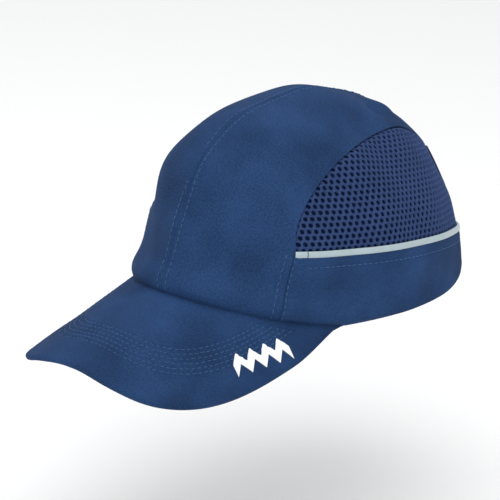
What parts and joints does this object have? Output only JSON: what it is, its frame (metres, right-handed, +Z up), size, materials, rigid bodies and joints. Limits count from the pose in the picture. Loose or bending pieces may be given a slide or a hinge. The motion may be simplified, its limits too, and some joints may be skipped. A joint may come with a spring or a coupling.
{
  "type": "bump cap",
  "caption": "Bump cap with a curved peak, mesh sides, reflective piping, a rear strap and a padded impact shell that slides out.",
  "frame": {"origin": "middle of the head opening, on the plane of the rim at the ears", "axes": "-Y out over the peak, +X the wearer's left, +Z up through the crown"},
  "size_m": [0.1614, 0.2895, 0.1363],
  "materials": {
    "navy_twill": "matt navy cotton-polyester twill",
    "navy_spacer_mesh": "navy knitted mesh with open cells",
    "reflective_piping": "pale grey reflective tape",
    "seam_tape_cloth": "woven navy tape",
    "board_plastic": "stiff plastic sheet",
    "white_print": "white heat-transfer film",
    "sweatband_cloth": "brushed navy towelling",
    "label_cloth": "plain satin label",
    "loop_tape": "soft loop tape",
    "hook_tape": "moulded hook tape",
    "shell_abs": "black injection-moulded ABS",
    "pad_foam": "closed-cell EVA foam",
    "strap_webbing": "woven navy webbing"
  },
  "bodies": {
    "cap": {"crown_panel_left": "navy_twill", "crown_panel_right": "navy_twill", "mesh_panel_left": "navy_spacer_mesh", "mesh_panel_right": "navy_spacer_mesh", "side_band_left": "navy_twill", "side_band_right": "navy_twill", "reflective_piping_left": "reflective_piping", "reflective_piping_right": "reflective_piping", "mesh_seam_tape_left": "seam_tape_cloth", "mesh_seam_tape_right": "seam_tape_cloth", "centre_seam_tape": "seam_tape_cloth", "peak_joint_tape": "seam_tape_cloth", "rear_opening_binding": "seam_tape_cloth", "peak_top_cover": "navy_twill", "peak_board": "board_plastic", "peak_under_cover": "navy_twill", "peak_print": "white_print", "sweatband": "sweatband_cloth", "blank_label": "label_cloth", "crown_loop_patch_front": "loop_tape", "crown_loop_patch_rear": "loop_tape", "strap_left": "strap_webbing", "strap_loop_patch": "loop_tape"},
    "insert": {"impact_shell": "shell_abs", "crown_pad": "pad_foam", "front_pad": "pad_foam", "rear_pad": "pad_foam", "side_pad_left": "pad_foam", "side_pad_right": "pad_foam", "shell_hook_patch_front": "hook_tape", "shell_hook_patch_rear": "hook_tape"},
    "strap_slider": {"strap_root_right": "strap_webbing"},
    "strap_flap": {"strap_tongue": "strap_webbing", "strap_hook_patch": "hook_tape"}
  },
  "joints": [
    {"name": "insert_slide", "type": "slide", "parent": "cap", "child": "insert", "axis": [0, 0, -1], "range_m": [0, 0.16]},
    {"name": "strap_adjust", "type": "hinge", "parent": "cap", "child": "strap_slider", "pos_m": [0, 0.0409, 0.0125], "axis": [0, 0, -1], "range_deg": [0, 7]},
    {"name": "tongue_peel", "type": "hinge", "parent": "strap_slider", "child": "strap_flap", "pos_m": [-0.02386, 0.10222, 0.0125], "axis": [0, 0, 1], "range_deg": [0, 95]}
  ]
}
